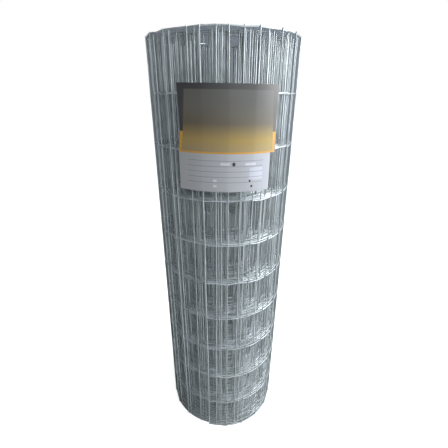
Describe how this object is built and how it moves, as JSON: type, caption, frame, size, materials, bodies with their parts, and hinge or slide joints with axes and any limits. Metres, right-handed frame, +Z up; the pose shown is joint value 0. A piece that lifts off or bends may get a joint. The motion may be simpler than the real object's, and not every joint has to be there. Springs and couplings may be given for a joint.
{
  "type": "roll of wire fencing",
  "caption": "Upright roll of galvanised welded wire mesh wound round an open bore, with a paper label round its front.",
  "frame": {"origin": "on the roll's axis, at the floor that it stands on", "axes": "+Z up along the roll's axis, the label's side towards -Y"},
  "size_m": [0.3161, 0.3169, 1.005],
  "materials": {
    "galvanised_wire": "galvanised, dull with bright glints",
    "label_paper": "printed paper, satin"
  },
  "bodies": {
    "root": {"mesh_roll": "galvanised_wire", "label": "label_paper"}
  },
  "joints": []
}
